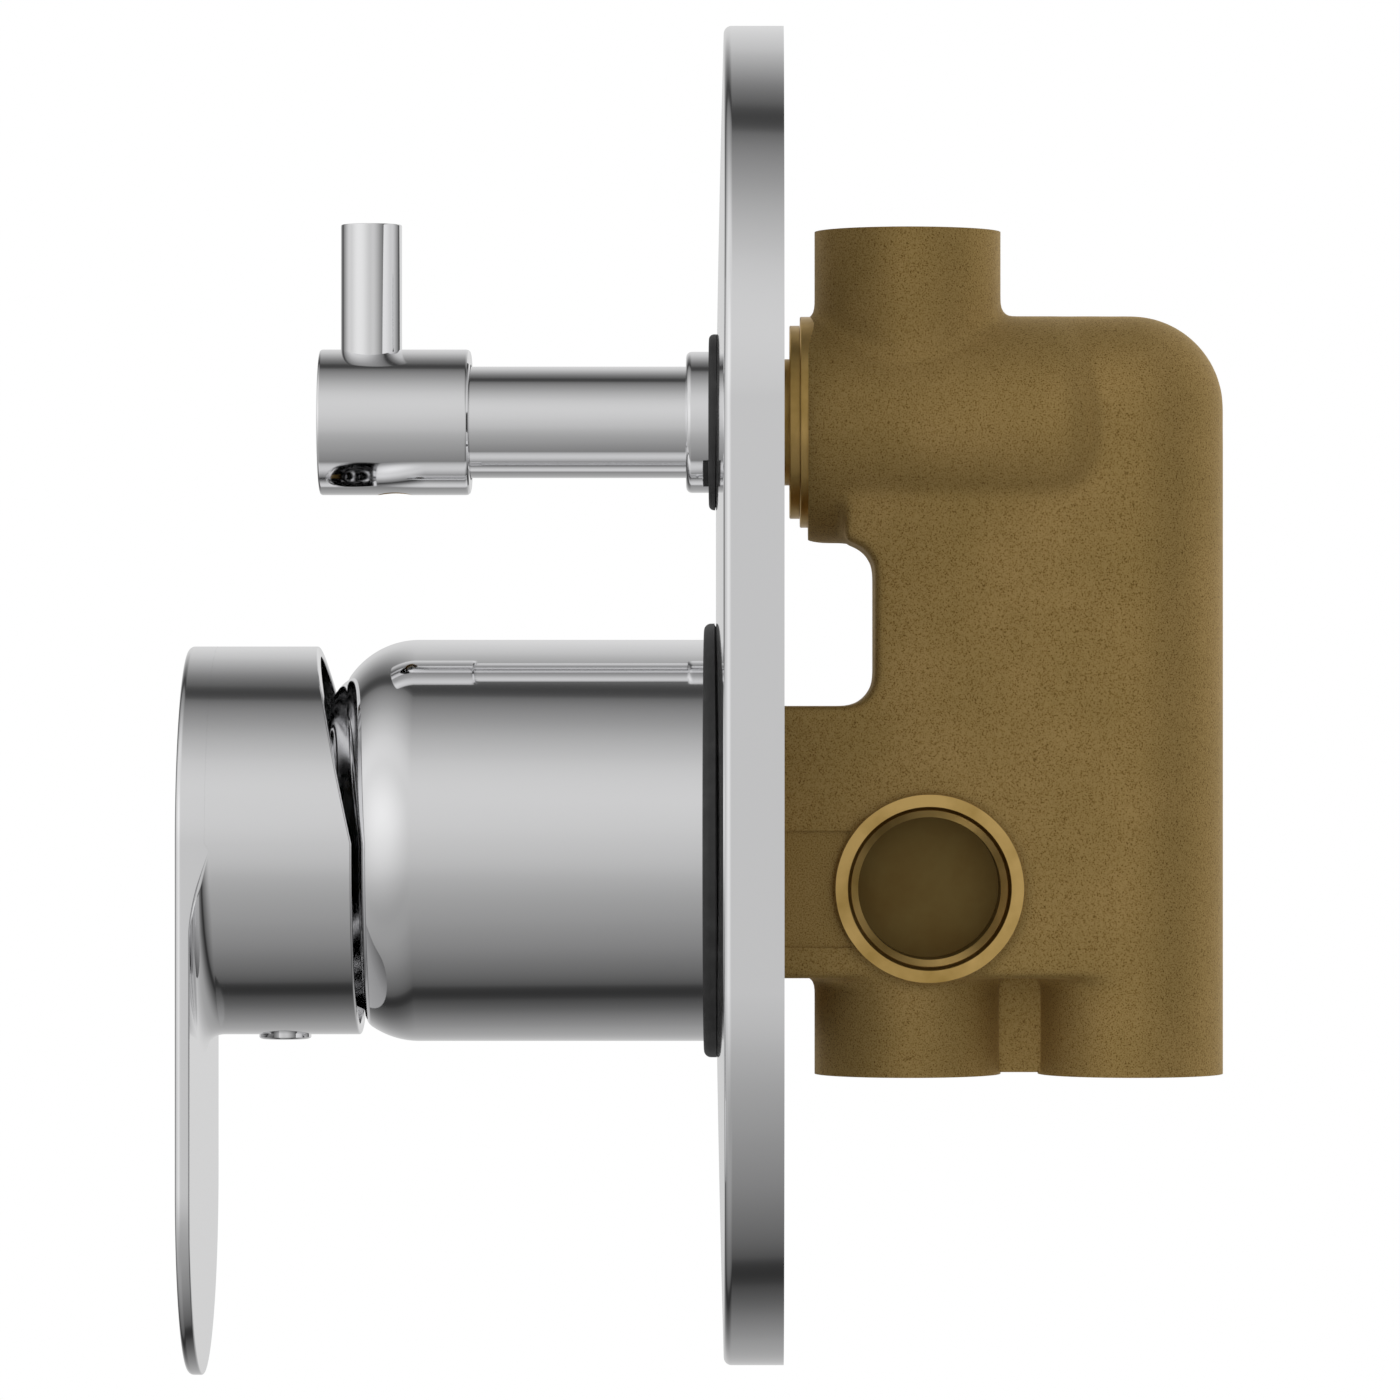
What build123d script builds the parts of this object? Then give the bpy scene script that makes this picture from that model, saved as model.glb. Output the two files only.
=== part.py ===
from build123d import *
import os
from math import cos, hypot, radians, sin, sqrt, tan

os.makedirs("parts", exist_ok=True)

# A concealed single-lever shower mixer with a diverter. Z is up. The wall is behind, at +Y, and
# the user stands in front, at -Y. The mixing axis is the line X = 0, Z = 0 from front to back,
# and Y = 0 is the finished wall, which the wall plate's rim stands on.

# Clearances
running_fit = 0.05          # radial, on what turns or slides
seat_fit = 0.1              # radial, on what is pushed into place and stays there
air = 0.3                   # between pieces that move past each other
overlap = 1.0               # how far one lump or cut runs into the next
edge_break = 0.3            # small bevel or round on cut and turned edges

# Wall plate
plate_length = 180.0
plate_width = 105.0
plate_rim = 8.0             # depth of the side wall
plate_crown = 1.3           # the middle stands this much in front of the edge
plate_sheet = 1.2
plate_edge_radius = 1.0
plate_rise = 19.5           # centre of the plate above the mixing axis
crown_spread = 0.6          # half size of the crowned face, as a share of the plate's

# Valve body, the cast brass
rib_radius = 12.5           # the slab is as thick as the round ribs that bound it
slab_front = 12.1
rear_tube_y = 46.7
slab_bottom = -18.2
ridge_height = 58.1
block_front = -2.0
block_top = 18.1
window_top = 40.0
window_radius = 4.0
outlet_radius = 12.55
outlet_y = 16.7
top_outlet_height = 81.9
bottom_outlet_height = -31.4
outlet_blend = 1.5          # soft corner at the foot of the top outlet
slab_round = 1.0            # soft lower edges of the slab
web_thickness = 5.4
cast_boss_radius = 15.3
cast_boss_height = 55.3
cast_boss_front = 3.3
cast_boss_rear = 42.6
cast_boss_round = 6.0
inlet_y = 19.4
inlet_height = -6.2
inlet_face = 13.9           # distance of each inlet's face from the middle
band_depth = 0.5
band_top = 1.5
band_bottom = -14.1
barrel_radius = 20.5
barrel_front = -44.0
barrel_floor = -22.0

# Ports, for half-inch pipe thread
port_mouth = 10.9
port_counterbore = 10.5
port_counterbore_depth = 1.2
port_bore = 9.5
port_chamfer = 0.5
port_depth = 13.0
waterway = 3.5
pocket_depth = 4.0          # of the chamber behind the mixed water hole

# Sleeve over the mixing cartridge
sleeve_radius = 27.0
sleeve_wall = 1.0
sleeve_rear = -2.0
shoulder_start = -49.0
shoulder_radius = 11.2
shoulder_sweep = 72.0       # degrees of arc, before the lip is cut
sleeve_lip = -55.75
sleeve_slant = 7.0          # degrees, the upper half of the lip leans forward

# Gaskets behind the trim
gasket_front = -10.7
gasket_radius = 29.2
gasket_neck = 1.0           # how far it reaches into the plate's hole, radially
gasket_tail = 2.0           # how far its neck reaches behind the plate's face
gasket_round = 0.6
small_gasket_front = -9.9
small_gasket_radius = 11.85
small_gasket_neck = 0.7

# Lever handle
hub_radius = 26.1
hub_front = -80.0
hub_wall = 1.4
hub_front_wall = 3.0
hub_rear = -56.8
hub_slant = 12.2            # degrees, the upper half of the rear edge leans forward
hub_edge_round = 0.8
blade_thickness = 2.0
blade_tip_centre = -45.8
blade_fillet = 2.8
boss_radius = 7.5
boss_rear = -63.6
set_screw_y = -67.1
set_screw_radius = 2.45
set_screw_length = 6.0
plug_radius = 3.5
plug_stand = 0.65
plug_round = 0.5
screw_point = 0.2           # bevel on a set screw, as a share of its radius
hexagon_size = 0.5          # its socket, as a share of its radius
hexagon_depth = 0.45        # as a share of its length

# Mixing cartridge and what holds it
pivot_y = -50.0
stem_square = 7.6
stem_front = -75.0
stem_tail = 3.0             # how far the square reaches behind the pivot
stem_arm_radius = 1.5
stem_ball_radius = 2.4
stem_ball_reach = 13.8      # from the pivot back to the ball
stem_lift = 20.0            # degrees
pin_radius = 1.5
base_thickness = 4.0
seal_radius = 10.6
seal_thickness = 1.0
disc_thickness = 4.0
moving_disc_thickness = 3.45
moving_disc_radius = 8.9
mixing_depth = 2.0          # the hollow in the moving disc, wide below and narrow above
mixing_wide = 6.0
mixing_narrow = 4.4
mixing_low = -2.2
mixing_step = 3.0
mixing_top = 6.4
carrier_front = -37.5
rail_x = 6.5                # the two ribs on which the carrier slides
rail_half_width = 0.9
rail_depth = 1.3
rail_reach = 5.5
housing_radius = 17.5
housing_wall = 3.3
housing_front = -47.0
housing_front_wall = 2.8
rotor_neck_radius = 11.5
rotor_front = -54.0
nut_radius = 24.3
nut_rear = -38.0
nut_wall = 3.0
nut_taper = 2.2             # the nut's front edge narrows by this to clear the dome
nut_bore = 14.6
dome_radius = 26.3
dome_centre = -40.7
dome_wall = 1.2
dome_opening = 14.0
dome_skirt_rear = -40.0
collar_ring_radius = 24.6
collar_ring_front = -16.0
collar_ring_rear = -10.0
sleeve_ring_section = 2.7

# Water holes through the discs
inlet_hole = 2.6
inlet_hole_x = 5.5
inlet_hole_z = -5.0
mixed_hole = 3.0
mixed_hole_z = 3.0
riser_height = 11.5
riser_y = 24.0

# Diverter
diverter_height = 56.3
spindle_radius = 3.5
spindle_front = -60.0
gland_neck_radius = 8.5
gland_neck_front = -8.0
gland_flange_radius = 13.0
gland_flange_front = 0.8
face_ring_radius = 14.2
face_ring_front = 2.2
gland_rear = 9.0
gland_step = 1.5
chamber_radius = 11.0
chamber_rear = 27.0
cage_wall = 1.8
cage_rear = 26.0
spindle_flange_radius = 6.0
spindle_flange_length = 3.0
tongue_width = 8.0
tongue_thickness = 2.4
tongue_length = 2.0
turning_disc_thickness = 3.5
still_disc_thickness = 3.6
disc_port = 1.9
disc_port_reach = 5.4
seal_section = 1.16
seal_places = (13.0, 23.2)
collar_radius = 9.5
collar_front = -13.1
collar_rear = -3.0
collar_edge_round = 0.75
neck_radius = 7.5
neck_front = -44.0
neck_flange = 1.5
neck_bore = 4.2
knob_radius = 9.8
knob_front = -62.4
knob_rear = -42.1
knob_front_chamfer = 0.5
knob_rear_round = 0.6
knob_screw_y = -52.3
knob_screw_radius = 2.2
knob_screw_length = 4.3
lever_pin_radius = 4.1
lever_pin_y = -55.5
lever_pin_top = 82.9
lever_pin_sink = 1.8        # how deep the pin stands in the knob
lever_pin_round = 0.3
lever_pin_spigot = 2.45


def bar(radius, front, rear, height=0.0, across=0.0):
    """A round bar that runs from front to back."""
    solid = Cylinder(radius, rear - front, align=(Align.CENTER, Align.CENTER, Align.MIN))
    return Pos(across, front, height) * Rot(-90, 0, 0) * solid


def upright(radius, low, high, y, across=0.0):
    """A round bar that stands upright."""
    solid = Cylinder(radius, high - low, align=(Align.CENTER, Align.CENTER, Align.MIN))
    return Pos(across, y, low) * solid


def crossways(radius, left, right, y, height):
    """A round bar that runs from left to right."""
    solid = Cylinder(radius, right - left, align=(Align.CENTER, Align.CENTER, Align.MIN))
    return Pos(left, y, height) * Rot(0, 90, 0) * solid


def brick(left, right, front, rear, low, high):
    """A rectangular block between six faces."""
    solid = Box(right - left, rear - front, high - low)
    return Pos((left + right) / 2, (front + rear) / 2, (low + high) / 2) * solid


def turned(face, height=0.0):
    """A turned piece: the face's first axis is Y, its second is the radius."""
    return Pos(0, 0, height) * revolve(Plane.YZ * face, axis=Axis.Y)


def turned_points(points, height=0.0):
    """A turned piece with a straight-sided section."""
    return turned(Polygon(*points, align=None), height)


def ring_seal(section, radius, y, height=0.0):
    """A rubber ring of round section around the axis at that height."""
    return turned(Pos(y, radius) * Circle(section / 2), height)


def side_profile(points):
    """A long block across X whose outline in side view is given as (y, z) points."""
    face = Plane.YZ * Polygon(*points, align=None)
    return extrude(face, amount=plate_width, both=True)


# Wall plate

def crowned_front(setback):
    """Everything behind the plate's face, which is crowned both ways, moved back by setback."""
    half_width = plate_width * crown_spread
    half_length = plate_length * crown_spread
    drop_across = plate_crown * (2 * half_width / plate_width) ** 2
    drop_along = plate_crown * (2 * half_length / plate_length) ** 2
    top = -plate_rim - plate_crown + setback
    net = []
    for i in (-1, 0, 1):
        across = drop_across if i else -drop_across
        row = []
        for k in (-1, 0, 1):
            along = drop_along if k else -drop_along
            row.append((i * half_width, top + across + along, plate_rise + k * half_length))
        net.append(row)
    return extrude(Face.make_bezier_surface(net), amount=2 * plate_width, dir=(0, 1, 0))


def plate_prism(inset):
    """The plate's outline as a block, smaller all round by inset."""
    outline = SlotOverall(plate_length - 2 * inset, plate_width - 2 * inset)
    standing = Plane.XZ * (Rot(0, 0, 90) * outline)
    return Pos(0, 0, plate_rise) * extrude(standing, amount=2 * plate_rim)


def plate_outer():
    """The plate's outer form, solid, with its rounded front edge."""
    solid = plate_prism(0) & crowned_front(0)
    front = solid.faces().sort_by(Axis.Y)[0]
    return fillet(front.edges(), plate_edge_radius)


def main_hole():
    return sleeve_radius + running_fit + gasket_neck


def collar_hole():
    return collar_radius + running_fit + small_gasket_neck


def plate():
    shell = plate_outer() - (plate_prism(plate_sheet) & crowned_front(plate_sheet))
    shell -= bar(main_hole(), -2 * plate_rim, 0)
    shell -= bar(collar_hole(), -2 * plate_rim, 0, diverter_height)
    return shell


def face_gasket(bore, neck, lip, front, height):
    """A rubber ring on the plate's face with a neck in the plate's hole."""
    tail = -plate_rim - plate_crown + gasket_tail
    section = Polygon((front, bore), (front, lip), (tail, lip), (tail, bore), align=None)
    ring = turned(section, height)
    ring = fillet(ring.edges().group_by(Axis.Y)[0].sort_by(SortBy.RADIUS)[-1], gasket_round)
    outside = ring - bar(neck, 2 * front, 0, height)
    inside = ring & bar(neck, 2 * front, 0, height)
    return inside + (outside - plate_outer())


def sleeve_gasket():
    bore = sleeve_radius + running_fit
    return face_gasket(bore, main_hole(), gasket_radius, gasket_front, 0)


def diverter_gasket():
    bore = collar_radius + running_fit
    return face_gasket(bore, collar_hole(), small_gasket_radius, small_gasket_front, diverter_height)


# Sleeve and dome

def shoulder_point(radius, angle):
    """A point of the shoulder's arc, by its angle forward of straight out."""
    centre = sleeve_radius - shoulder_radius
    return (shoulder_start - radius * sin(radians(angle)), centre + radius * cos(radians(angle)))


def sleeve():
    inner = shoulder_radius - sleeve_wall
    bore = sleeve_radius - sleeve_wall
    outside = ThreePointArc(
        (shoulder_start, sleeve_radius),
        shoulder_point(shoulder_radius, shoulder_sweep / 2),
        shoulder_point(shoulder_radius, shoulder_sweep),
    )
    inside = ThreePointArc(
        shoulder_point(inner, shoulder_sweep),
        shoulder_point(inner, shoulder_sweep / 2),
        (shoulder_start, bore),
    )
    outline = [
        Line((sleeve_rear, sleeve_radius), (shoulder_start, sleeve_radius)),
        outside,
        Line(shoulder_point(shoulder_radius, shoulder_sweep), shoulder_point(inner, shoulder_sweep)),
        inside,
        Line((shoulder_start, bore), (sleeve_rear, bore)),
        Line((sleeve_rear, bore), (sleeve_rear, sleeve_radius)),
    ]
    shell = turned(make_face(outline))
    reach = 2 * sleeve_radius
    lean = reach * tan(radians(sleeve_slant))
    front = side_profile([
        (hub_front, -reach), (sleeve_lip, -reach), (sleeve_lip, 0),
        (sleeve_lip - lean, reach), (hub_front, reach),
    ])
    return shell - front


def sphere_front(radius, distance):
    """Y of a sphere about the dome's centre, at a distance from the axis, on its front side."""
    return dome_centre - sqrt(radius ** 2 - distance ** 2)


def dome_cover():
    inner = dome_radius - dome_wall
    skirt = sleeve_radius - sleeve_wall - seat_fit - air
    bore = nut_radius + seat_fit
    middle = (skirt + dome_opening) / 2
    inner_middle = (bore + dome_opening) / 2
    outline = [
        Line((dome_skirt_rear, bore), (dome_skirt_rear, skirt)),
        Line((dome_skirt_rear, skirt), (sphere_front(dome_radius, skirt), skirt)),
        ThreePointArc(
            (sphere_front(dome_radius, skirt), skirt),
            (sphere_front(dome_radius, middle), middle),
            (sphere_front(dome_radius, dome_opening), dome_opening),
        ),
        Line(
            (sphere_front(dome_radius, dome_opening), dome_opening),
            (sphere_front(inner, dome_opening), dome_opening),
        ),
        ThreePointArc(
            (sphere_front(inner, dome_opening), dome_opening),
            (sphere_front(inner, inner_middle), inner_middle),
            (sphere_front(inner, bore), bore),
        ),
        Line((sphere_front(inner, bore), bore), (dome_skirt_rear, bore)),
    ]
    return turned(make_face(outline))


def sleeve_o_ring():
    bore = sleeve_radius - sleeve_wall
    radius = bore - running_fit / 2 - sleeve_ring_section / 2
    return ring_seal(sleeve_ring_section, radius, (collar_ring_front + collar_ring_rear) / 2)


# Lever handle

def blade_outline(front, rear):
    """The front view of handle and blade together, as a block from front to rear."""
    tip = Pos(0, blade_tip_centre) * Circle(hub_radius)
    sides = Pos(0, blade_tip_centre / 2) * Rectangle(2 * hub_radius, -blade_tip_centre)
    face = Circle(hub_radius) + tip + sides
    return Pos(0, rear, 0) * extrude(Plane.XZ * face, amount=rear - front)


def blade_root():
    """The hollow fillet between the hub's underside and the back of the blade."""
    back = hub_front + blade_thickness
    outer = hub_radius + blade_fillet
    root = back + blade_fillet
    middle = blade_fillet * cos(radians(45))
    section = make_face([
        Polyline((root, hub_radius), (back, hub_radius), (back, outer)),
        ThreePointArc((back, outer), (root - middle, outer - middle), (root, hub_radius)),
    ])
    below = brick(-hub_radius, hub_radius, back, root, -2 * hub_radius, 0)
    return turned(section) & blade_outline(back, root) & below


def lever_handle():
    reach = 2 * hub_radius
    slant = reach * tan(radians(hub_slant))
    behind = side_profile([
        (hub_rear, -reach), (hub_rear, 0), (hub_rear - slant, reach), (0, reach), (0, -reach),
    ])
    blade = blade_outline(hub_front, hub_front + blade_thickness)
    form = blade + bar(hub_radius, hub_front, 0)
    form = fillet(form.faces().sort_by(Axis.Y)[0].edges(), hub_edge_round)
    form += blade_root()
    inside = hub_front + hub_front_wall
    form -= bar(hub_radius - hub_wall, inside, 0)
    form -= behind
    form += bar(boss_radius, inside - overlap, boss_rear)
    half = stem_square / 2 + running_fit
    form -= brick(-half, half, stem_front - seat_fit, 0, -half, half)
    form -= upright(set_screw_radius + running_fit, -boss_radius - overlap, 0, set_screw_y)
    form -= upright(plug_radius + running_fit, -hub_radius - overlap, -boss_radius - overlap,
                    set_screw_y)
    curved = form.edges().filter_by(GeomType.CIRCLE) + form.edges().filter_by(GeomType.ELLIPSE)
    rim = [edge for edge in curved if edge.bounding_box().max.Y > hub_rear - edge_break]
    return fillet(rim, edge_break)


def set_screw(radius, length, y, top, height=0.0):
    """A headless screw with a hexagon socket, its point up against what it clamps."""
    screw = upright(radius, top - length, top, y)
    screw = chamfer(screw.edges(), radius * screw_point)
    socket = extrude(RegularPolygon(radius * hexagon_size, 6), amount=length * hexagon_depth)
    return Pos(0, 0, height) * (screw - Pos(0, y, top - length) * socket)


def handle_grub_screw():
    return set_screw(set_screw_radius, set_screw_length, set_screw_y, -stem_square / 2)


def index_plug():
    low = -hub_radius - plug_stand
    plug = upright(plug_radius, low, -hub_radius + hub_wall, set_screw_y)
    return fillet(plug.edges().sort_by(Axis.Z)[0], plug_round)


# Mixing cartridge

base_front = barrel_floor - base_thickness
fixed_disc_front = base_front - disc_thickness
moving_disc_rear = fixed_disc_front - running_fit
moving_disc_front = moving_disc_rear - moving_disc_thickness
housing_bore = housing_radius - housing_wall
housing_inner_front = housing_front + housing_front_wall
rotor_rear = carrier_front - air
rotor_shoulder = housing_inner_front + air
stem_neck = stem_square / 2
slot_half = stem_square / 2 + air
stem_corner = hypot(stem_neck, stem_tail)


def water_holes(front, rear):
    """The hot, cold and mixed water holes as three bars."""
    hot = bar(inlet_hole, front, rear, inlet_hole_z, -inlet_hole_x)
    cold = bar(inlet_hole, front, rear, inlet_hole_z, inlet_hole_x)
    return hot + cold + bar(mixed_hole, front, rear, mixed_hole_z)


def cartridge_base():
    base = bar(housing_radius, base_front, barrel_floor)
    base -= water_holes(base_front, barrel_floor)
    base -= bar(seal_radius + seat_fit, barrel_floor - seal_thickness, barrel_floor)
    return base


def cartridge_seal():
    front = barrel_floor - seal_thickness
    return bar(seal_radius, front, barrel_floor) - water_holes(front, barrel_floor)


def fixed_disc():
    disc = bar(housing_bore - seat_fit, fixed_disc_front, base_front)
    return disc - water_holes(fixed_disc_front, base_front)


def moving_disc():
    disc = bar(moving_disc_radius, moving_disc_front, moving_disc_rear)
    floor = moving_disc_rear - mixing_depth
    lower = brick(-mixing_wide, mixing_wide, floor, moving_disc_rear, mixing_low, mixing_step)
    upper = brick(-mixing_narrow, mixing_narrow, floor, moving_disc_rear, mixing_step, mixing_top)
    return disc - (lower + upper)


def guide_rails(half_width, front, rear, reach):
    """Two straight ribs on which the carrier slides in the rotor."""
    right = brick(rail_x - half_width, rail_x + half_width, front, rear, -reach, reach)
    return right + mirror(right, Plane.YZ)


def disc_carrier():
    carrier = bar(moving_disc_radius, carrier_front, moving_disc_front)
    carrier += guide_rails(rail_half_width, carrier_front - rail_depth, carrier_front, rail_reach)
    return carrier - bar(stem_ball_radius + air + running_fit, carrier_front, moving_disc_front)


def cartridge_housing():
    tube = bar(housing_radius, housing_front, base_front)
    tube -= bar(housing_bore, housing_inner_front, base_front)
    tube -= bar(rotor_neck_radius + air, housing_front, housing_inner_front)
    return chamfer(tube.edges().filter_by(GeomType.CIRCLE).sort_by(Axis.Y)[0], edge_break)


def cartridge_rotor():
    rotor = bar(rotor_neck_radius, rotor_front, rotor_shoulder)
    rotor += bar(housing_bore - 2 * seat_fit, rotor_shoulder, rotor_rear)
    lift = tan(radians(stem_lift))
    slot_floor = pivot_y + stem_corner + air
    above = slot_half / cos(radians(stem_lift)) + (pivot_y - rotor_front) * lift
    below = stem_corner + air
    rotor -= brick(-slot_half, slot_half, rotor_front, slot_floor, -below, above)
    arm = stem_ball_radius + air
    drop = stem_ball_reach * sin(radians(stem_lift)) + arm
    rotor -= brick(-arm, arm, slot_floor, rotor_rear, -drop, arm)
    rotor -= guide_rails(rail_half_width + air, carrier_front - rail_depth - air, rotor_rear,
                         housing_bore)
    rotor -= crossways(pin_radius, -rotor_neck_radius, rotor_neck_radius, pivot_y, 0)
    return rotor


def stem_pin():
    half = rotor_neck_radius - air
    return crossways(pin_radius, -half, half, pivot_y, 0)


def lever_stem():
    ball_y = pivot_y + stem_ball_reach
    head = brick(-stem_neck, stem_neck, stem_front, pivot_y + stem_tail, -stem_neck, stem_neck)
    head = chamfer(head.faces().sort_by(Axis.Y)[0].edges(), edge_break)
    arm = bar(stem_arm_radius, pivot_y, ball_y)
    ball = Pos(0, ball_y, 0) * Sphere(stem_ball_radius)
    stem = head + arm + ball
    return stem - crossways(pin_radius + running_fit, -rotor_neck_radius, rotor_neck_radius, pivot_y, 0)


def cartridge_nut():
    front = housing_front - nut_wall
    thread = barrel_radius + running_fit
    return turned_points([
        (front, nut_bore), (front, nut_radius - nut_taper),
        (housing_front + air, nut_radius), (nut_rear, nut_radius),
        (nut_rear, thread), (housing_front, thread), (housing_front, nut_bore),
    ])


# Valve body

def port_cutter(depth):
    """A port's bore, mouth at Z = 0, going down."""
    step = port_counterbore_depth
    section = Polygon(
        (0, overlap), (port_mouth, overlap), (port_mouth, 0), (port_counterbore, -port_chamfer),
        (port_counterbore, -step), (port_bore, -step - port_chamfer), (port_bore, -depth),
        (0, -depth), align=None,
    )
    return revolve(Plane.XZ * section, axis=Axis.Z)


def cast_boss():
    """The housing of the diverter, with a soft rear end."""
    end = cast_boss_rear
    start = end - cast_boss_round
    inner = cast_boss_radius - cast_boss_round
    bend = cast_boss_round * cos(radians(45))
    section = make_face([
        Polyline((end, inner), (end, 0), (cast_boss_front, 0),
                 (cast_boss_front, cast_boss_radius), (start, cast_boss_radius)),
        ThreePointArc((start, cast_boss_radius), (start + bend, inner + bend), (end, inner)),
    ])
    return turned(section, cast_boss_height)


def window_corner(height, direction):
    """The rounded inner corner between the slab's front and the block or boss beside it."""
    reach = window_radius
    centre = height + direction * reach
    low, high = sorted((centre, height - direction * cast_boss_radius / 2))
    corner = brick(-rib_radius, rib_radius, slab_front - reach, slab_front, low, high)
    return corner - crossways(reach, -plate_width, plate_width, slab_front - reach, centre)


def outlet_foot(form):
    """The edges where the top outlet stands on the ridge and the boss."""
    found = []
    for edge in form.edges():
        points = [edge.position_at(share) for share in (0, 0.5, 1)]
        away = max(abs(hypot(p.X, p.Y - outlet_y) - outlet_radius) for p in points)
        if away < running_fit and max(p.Z for p in points) < top_outlet_height - edge_break - overlap:
            found.append(edge)
    return found


def cast_form():
    """The rough casting before machining."""
    slab = brick(-rib_radius, rib_radius, slab_front, rear_tube_y, slab_bottom, ridge_height)
    front_block = brick(-rib_radius, rib_radius, block_front, slab_front, slab_bottom, block_top)
    rear_tube = upright(rib_radius, bottom_outlet_height, ridge_height, rear_tube_y)
    rear_tube = chamfer(rear_tube.edges().sort_by(Axis.Z)[0], edge_break)
    rear_top = Pos(0, rear_tube_y, ridge_height) * Sphere(rib_radius)
    ridge = bar(rib_radius, slab_front, rear_tube_y, ridge_height)
    top_outlet = upright(outlet_radius, cast_boss_height, top_outlet_height, outlet_y)
    top_outlet = chamfer(top_outlet.edges().sort_by(Axis.Z)[-1], edge_break)
    bottom_outlet = upright(outlet_radius, bottom_outlet_height, slab_bottom + overlap, outlet_y)
    bottom_outlet = chamfer(bottom_outlet.edges().sort_by(Axis.Z)[0], edge_break)
    web = brick(-web_thickness / 2, web_thickness / 2, outlet_y, rear_tube_y,
                bottom_outlet_height + edge_break, slab_bottom)
    lump = slab + front_block
    low_edges = lump.edges().group_by(Axis.Z)[0].filter_by(Axis.Y)
    head = fillet(low_edges, slab_round) + ridge + cast_boss() + top_outlet
    head = fillet(outlet_foot(head), outlet_blend)
    form = head + rear_tube + rear_top
    form += window_corner(block_top, 1)
    form += window_corner(window_top, -1)
    form += bottom_outlet + web
    return form


def barrel():
    """The turned barrel that takes the cartridge, with a grooved ring for the sleeve's seal."""
    groove = sleeve_radius - sleeve_wall - running_fit - sleeve_ring_section
    half = sleeve_ring_section / 2 + 2 * running_fit
    middle = (collar_ring_front + collar_ring_rear) / 2
    return turned_points([
        (barrel_front, 0), (barrel_front, barrel_radius), (collar_ring_front, barrel_radius),
        (collar_ring_front, collar_ring_radius), (middle - half, collar_ring_radius),
        (middle - half, groove), (middle + half, groove), (middle + half, collar_ring_radius),
        (collar_ring_rear, collar_ring_radius), (collar_ring_rear, barrel_radius),
        (block_front, barrel_radius), (block_front, 0),
    ])


def waterways():
    """The drillings that join inlets, cartridge, diverter and outlets."""
    inlet_end = inlet_y - port_bore / 2
    hot = bar(inlet_hole, barrel_floor, inlet_end, inlet_hole_z, -inlet_hole_x)
    cold = bar(inlet_hole, barrel_floor, inlet_end, inlet_hole_z, inlet_hole_x)
    pocket = brick(-mixed_hole, mixed_hole, barrel_floor, barrel_floor + pocket_depth,
                   mixed_hole_z - mixed_hole, riser_height + waterway)
    mixed = bar(waterway, barrel_floor, riser_y + waterway, riser_height)
    riser = upright(waterway, riser_height, diverter_height, riser_y)
    up = upright(waterway, diverter_height, top_outlet_height - port_depth + overlap, outlet_y)
    low = bottom_outlet_height + port_depth - overlap
    down = upright(2 * waterway, low, diverter_height, rear_tube_y)
    back = bar(waterway, chamber_rear - overlap, rear_tube_y, diverter_height)
    return hot + cold + pocket + mixed + riser + up + down + back


def valve_body():
    body = cast_form() + barrel()
    reach = rib_radius - band_depth
    for side in (-1, 1):
        inner, outer = sorted((side * reach, side * 2 * rib_radius))
        body -= brick(inner, outer, block_front - overlap, inlet_y, band_bottom, band_top)
    inlets = crossways(rib_radius, -inlet_face, inlet_face, inlet_y, inlet_height)
    body += chamfer(inlets.edges().filter_by(GeomType.CIRCLE), edge_break)
    face_ring = bar(face_ring_radius, face_ring_front, cast_boss_front + overlap, diverter_height)
    body += chamfer(face_ring.edges().filter_by(GeomType.CIRCLE).sort_by(Axis.Y)[0], edge_break)
    body -= bar(housing_radius + 2 * seat_fit, barrel_front, barrel_floor)
    body -= bar(chamber_radius, face_ring_front, chamber_rear, diverter_height)
    cutter = port_cutter(port_depth)
    body -= Pos(0, outlet_y, top_outlet_height) * cutter
    for y in (outlet_y, rear_tube_y):
        body -= Pos(0, y, bottom_outlet_height) * Rot(180, 0, 0) * cutter
    for side in (-1, 1):
        body -= Pos(side * inlet_face, inlet_y, inlet_height) * Rot(0, side * 90, 0) * cutter
    return body - waterways()


# Diverter

cage_radius = chamber_radius - 2 * seat_fit
cage_bore = cage_radius - cage_wall
turning_disc_front = gland_rear + 2 * air + spindle_flange_length + air
turning_disc_rear = turning_disc_front + turning_disc_thickness
still_disc_front = turning_disc_rear + running_fit
still_disc_rear = still_disc_front + still_disc_thickness


def disc_ports(front, rear):
    """Three water holes a quarter turn apart, for the three outlets."""
    low = bar(disc_port, front, rear, diverter_height - disc_port_reach)
    left = bar(disc_port, front, rear, diverter_height, -disc_port_reach)
    return low + left + mirror(left, Plane.YZ)


def diverter_gland():
    bore = spindle_radius + running_fit
    step = spindle_radius + gland_step
    return turned_points([
        (gland_neck_front, step), (gland_neck_front, gland_neck_radius),
        (gland_flange_front, gland_neck_radius),
        (gland_flange_front, gland_flange_radius - edge_break),
        (gland_flange_front + edge_break, gland_flange_radius),
        (face_ring_front, gland_flange_radius), (face_ring_front, cage_radius),
        (gland_rear, cage_radius), (gland_rear, bore), (gland_flange_front, bore),
        (gland_flange_front, step),
    ], diverter_height)


def diverter_cartridge():
    cage = bar(cage_radius, gland_rear, cage_rear, diverter_height)
    cage -= bar(cage_bore, gland_rear, still_disc_rear, diverter_height)
    cage -= disc_ports(still_disc_rear, cage_rear)
    floor = chamber_radius - seal_section - running_fit
    half = seal_section / 2 + running_fit
    for y in seal_places:
        groove = bar(chamber_radius, y - half, y + half, diverter_height)
        cage -= groove - bar(floor, y - half, y + half, diverter_height)
    return cage


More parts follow.
